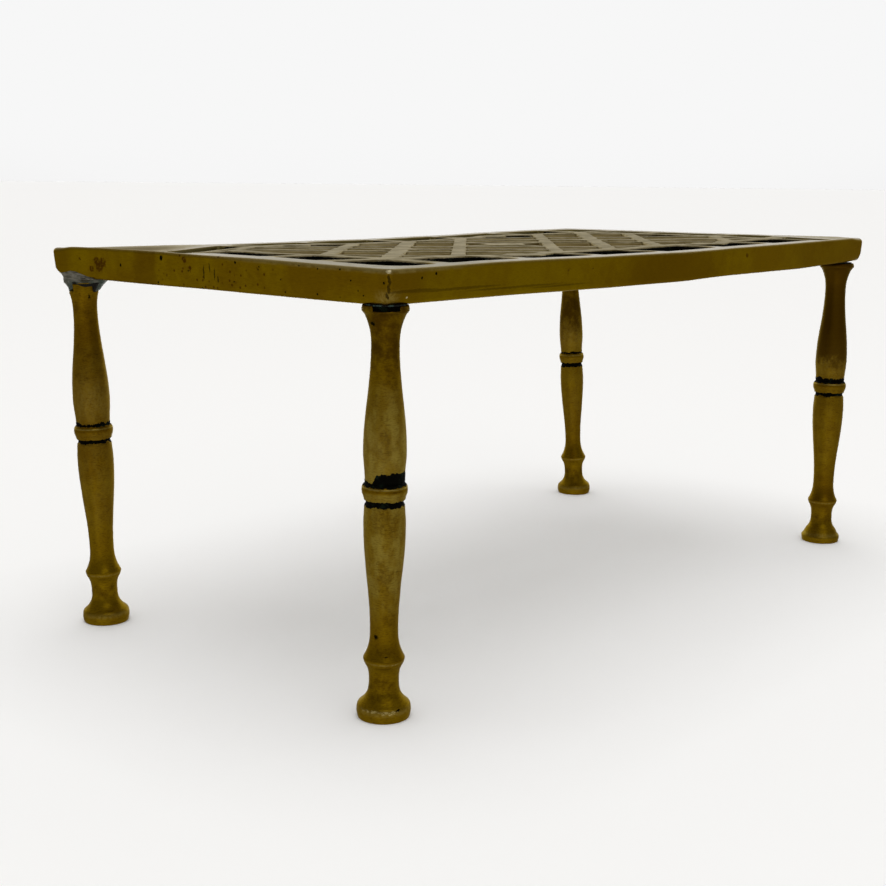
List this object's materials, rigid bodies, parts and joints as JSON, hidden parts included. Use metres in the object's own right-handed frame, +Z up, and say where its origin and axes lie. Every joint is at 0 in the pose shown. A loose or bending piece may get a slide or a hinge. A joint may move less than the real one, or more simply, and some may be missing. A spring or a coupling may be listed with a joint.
{
  "type": "pierced brass table stand",
  "caption": "Low rectangular brass stand with a pierced strapwork top in a deep rim, carried at its corners on turned baluster legs with rings, knops and round feet.",
  "frame": {"origin": "middle of the footprint, on the plane the feet rest on", "axes": "+X along the long side, +Y across the short side towards the back, +Z up; front is -Y and left is -X"},
  "size_m": [0.307, 0.1584, 0.132],
  "materials": {
    "cast_brass": "aged cast brass, rubbed top faces, dark pierced walls",
    "turned_brass": "aged turned brass, satin, black residue in the grooves",
    "solder": "dull grey soft solder with green corrosion"
  },
  "bodies": {
    "root": {"pierced_top": "cast_brass", "upper_baluster_front_left": "turned_brass", "upper_baluster_front_right": "turned_brass", "upper_baluster_back_left": "turned_brass", "upper_baluster_back_right": "turned_brass", "ring_front_left": "turned_brass", "ring_front_right": "turned_brass", "ring_back_left": "turned_brass", "ring_back_right": "turned_brass", "lower_baluster_front_left": "turned_brass", "lower_baluster_front_right": "turned_brass", "lower_baluster_back_left": "turned_brass", "lower_baluster_back_right": "turned_brass", "solder_bed_front_left": "solder", "solder_bed_front_right": "solder", "solder_bed_back_right": "solder", "solder_repair_back_left": "solder"}
  },
  "joints": []
}
